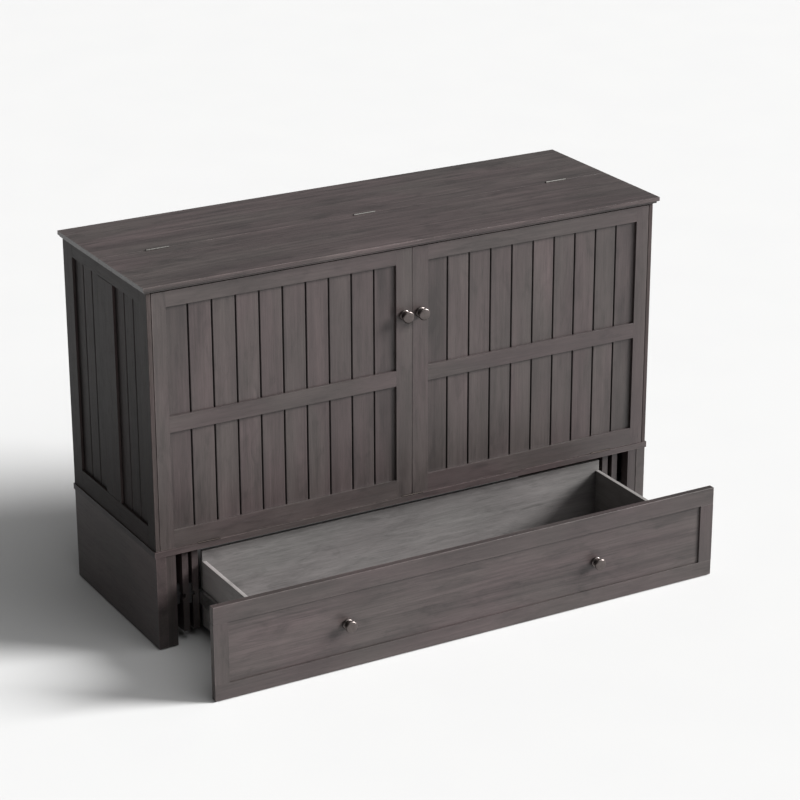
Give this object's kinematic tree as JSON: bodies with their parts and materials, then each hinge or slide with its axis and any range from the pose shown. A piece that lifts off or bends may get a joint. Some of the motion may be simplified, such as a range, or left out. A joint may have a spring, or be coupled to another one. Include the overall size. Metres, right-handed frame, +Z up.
{
  "type": "cabinet bed",
  "caption": "Low grey wooden chest that unfolds into a double bed: hinged lid, fold-down front with foot decks, telescoping base frames, wide storage drawer.",
  "frame": {"origin": "on the floor, under the middle of the whole object's outline with the drawer open as drawn", "axes": "+X along the front to the right, +Y towards the back, +Z up"},
  "size_m": [1.668, 0.958, 1.0877],
  "materials": {
    "grey_wood": "satin",
    "shaded_wood": "satin",
    "drawer_wood": "satin",
    "plywood": "matte",
    "knob_metal": "satin",
    "steel": "satin",
    "black_steel": "satin",
    "nylon": "matte",
    "ticking": "matte"
  },
  "bodies": {
    "cabinet": {"side_frame_left": "shaded_wood", "side_frame_right": "grey_wood", "side_boards": "grey_wood", "back_panel": "shaded_wood", "top_rear": "grey_wood", "bottom_board": "grey_wood", "base_side_left": "shaded_wood", "base_side_right": "grey_wood", "base_posts": "grey_wood", "base_back_rail": "shaded_wood", "deck_bearers": "plywood", "deck_slats": "plywood", "mattress_head": "ticking", "mattress_middle": "ticking", "mattress_foot": "ticking", "base_guides": "plywood", "top_hinges_fixed": "steel", "panel_hinges_fixed": "steel", "floor_glides": "nylon"},
    "lid": {"lid": "grey_wood", "top_hinges_moving": "steel"},
    "front_panel": {"door_frame_left": "grey_wood", "door_frame_right": "grey_wood", "door_boards_left": "grey_wood", "door_boards_right": "grey_wood", "panel_platform": "plywood", "door_knob_left": "knob_metal", "door_knob_right": "knob_metal", "door_knob_screws": "steel", "panel_hinges_moving": "steel", "foot_hinges_panel": "steel"},
    "foot_deck_1": {"foot_deck_1_frame": "plywood", "foot_deck_1_slats": "plywood", "foot_hinges_deck_1": "steel"},
    "foot_deck_2": {"foot_deck_2_frame": "plywood", "foot_deck_2_slats": "plywood", "foot_hinges_deck_2": "steel"},
    "outer_frame": {"outer_frame_left": "shaded_wood", "outer_frame_right": "grey_wood", "outer_frame_back": "shaded_wood", "outer_frame_guides": "plywood"},
    "inner_frame": {"inner_frame_left": "shaded_wood", "inner_frame_right": "grey_wood", "inner_frame_back": "shaded_wood", "drawer_slide_fixed": "black_steel"},
    "outer_wheels": {"outer_wheels": "nylon"},
    "inner_wheels": {"inner_wheels": "nylon"},
    "slide_middle": {"drawer_slide_middle": "steel"},
    "drawer": {"drawer_front_frame": "grey_wood", "drawer_front_panel": "grey_wood", "drawer_side_left": "drawer_wood", "drawer_side_right": "drawer_wood", "drawer_back": "drawer_wood", "drawer_bottom": "drawer_wood", "drawer_knob_left": "knob_metal", "drawer_knob_right": "knob_metal", "drawer_knob_screws": "steel", "drawer_slide_moving": "black_steel"}
  },
  "joints": [
    {"name": "panel_fold", "type": "hinge", "parent": "cabinet", "child": "front_panel", "pos_m": [0, -0.094, 0.3035], "axis": [1, 0, 0], "range_deg": [0, 90]},
    {"name": "drawer_slide", "type": "slide", "parent": "inner_frame", "child": "drawer", "axis": [0, -1, 0], "range_m": [-0.339, 0.015]},
    {"name": "base_slide", "type": "slide", "parent": "cabinet", "child": "outer_frame", "axis": [0, -1, 0], "range_m": [0, 0.45]},
    {"name": "lid_fold", "type": "hinge", "parent": "cabinet", "child": "lid", "pos_m": [0, 0.1855, 1.0845], "axis": [1, 0, 0], "range_deg": [-180, 0]},
    {"name": "foot_fold_1", "type": "hinge", "parent": "front_panel", "child": "foot_deck_1", "pos_m": [0, -0.0655, 1.06], "axis": [1, 0, 0], "range_deg": [0, 180]},
    {"name": "foot_fold_2", "type": "hinge", "parent": "foot_deck_1", "child": "foot_deck_2", "pos_m": [0, -0.0195, 0.695], "axis": [1, 0, 0], "range_deg": [-180, 0]},
    {"name": "inner_slide", "type": "slide", "parent": "outer_frame", "child": "inner_frame", "axis": [0, -1, 0], "range_m": [0, 0.45]},
    {"name": "outer_wheels_roll", "type": "hinge", "parent": "outer_frame", "child": "outer_wheels", "pos_m": [0, 0.026, 0.021], "axis": [1, 0, 0], "range_deg": [-5, 1300]},
    {"name": "inner_wheels_roll", "type": "hinge", "parent": "inner_frame", "child": "inner_wheels", "pos_m": [0, 0.026, 0.021], "axis": [1, 0, 0], "range_deg": [-5, 2600]},
    {"name": "slide_middle_travel", "type": "slide", "parent": "inner_frame", "child": "slide_middle", "axis": [0, -1, 0], "range_m": [-0.17, 0.056]}
  ],
  "couplings": [
    {"joint": "lid_fold", "follows": "panel_fold", "ratio": -2},
    {"joint": "foot_fold_1", "follows": "panel_fold", "ratio": 2},
    {"joint": "foot_fold_2", "follows": "panel_fold", "ratio": -2},
    {"joint": "inner_slide", "follows": "base_slide", "ratio": 1},
    {"joint": "outer_wheels_roll", "follows": "base_slide", "rad_per_m": 50},
    {"joint": "inner_wheels_roll", "follows": "base_slide", "rad_per_m": 100},
    {"joint": "slide_middle_travel", "follows": "drawer_slide", "ratio": 0.5}
  ]
}
